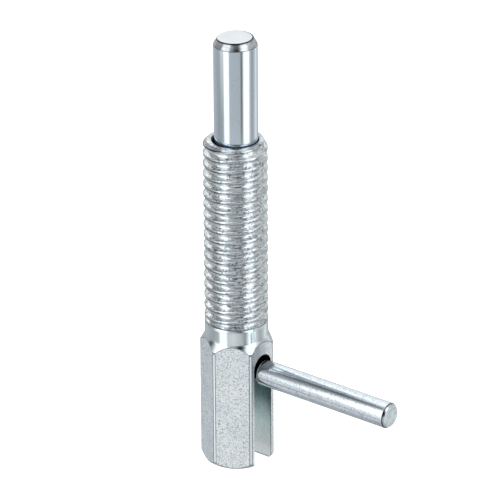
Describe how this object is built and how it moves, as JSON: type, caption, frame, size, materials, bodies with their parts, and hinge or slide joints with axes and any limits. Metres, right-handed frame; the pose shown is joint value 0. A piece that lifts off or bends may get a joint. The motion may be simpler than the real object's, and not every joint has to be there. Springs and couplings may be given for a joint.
{
  "type": "indexing plunger",
  "caption": "Spring-loaded indexing plunger: threaded sleeve with a slotted hexagonal end, a round nose and a side pull lever that leaves the slot to lock it back.",
  "frame": {"origin": "centre of the hexagonal end face, on the thread's axis", "axes": "+Z along the thread's axis towards the nose, +X along the pull lever"},
  "size_m": [0.0327, 0.0108, 0.0664],
  "materials": {
    "plated_sleeve": "clear zinc plating over turned and milled steel",
    "turned_pin": "smooth ground steel, zinc plated",
    "lever_rod": "drawn round bar, zinc plated",
    "spring_wire": "bright spring wire"
  },
  "bodies": {
    "sleeve": {"sleeve_body": "plated_sleeve", "return_spring": "spring_wire"},
    "plunger": {"plunger_pin": "turned_pin", "pull_lever": "lever_rod"}
  },
  "joints": [
    {"name": "plunger_pull", "type": "slide", "parent": "sleeve", "child": "plunger", "axis": [0, 0, -1], "range_m": [-0.0011, 0.017], "stiffness_N_per_m": 920, "deforming": ["return_spring"]}
  ]
}
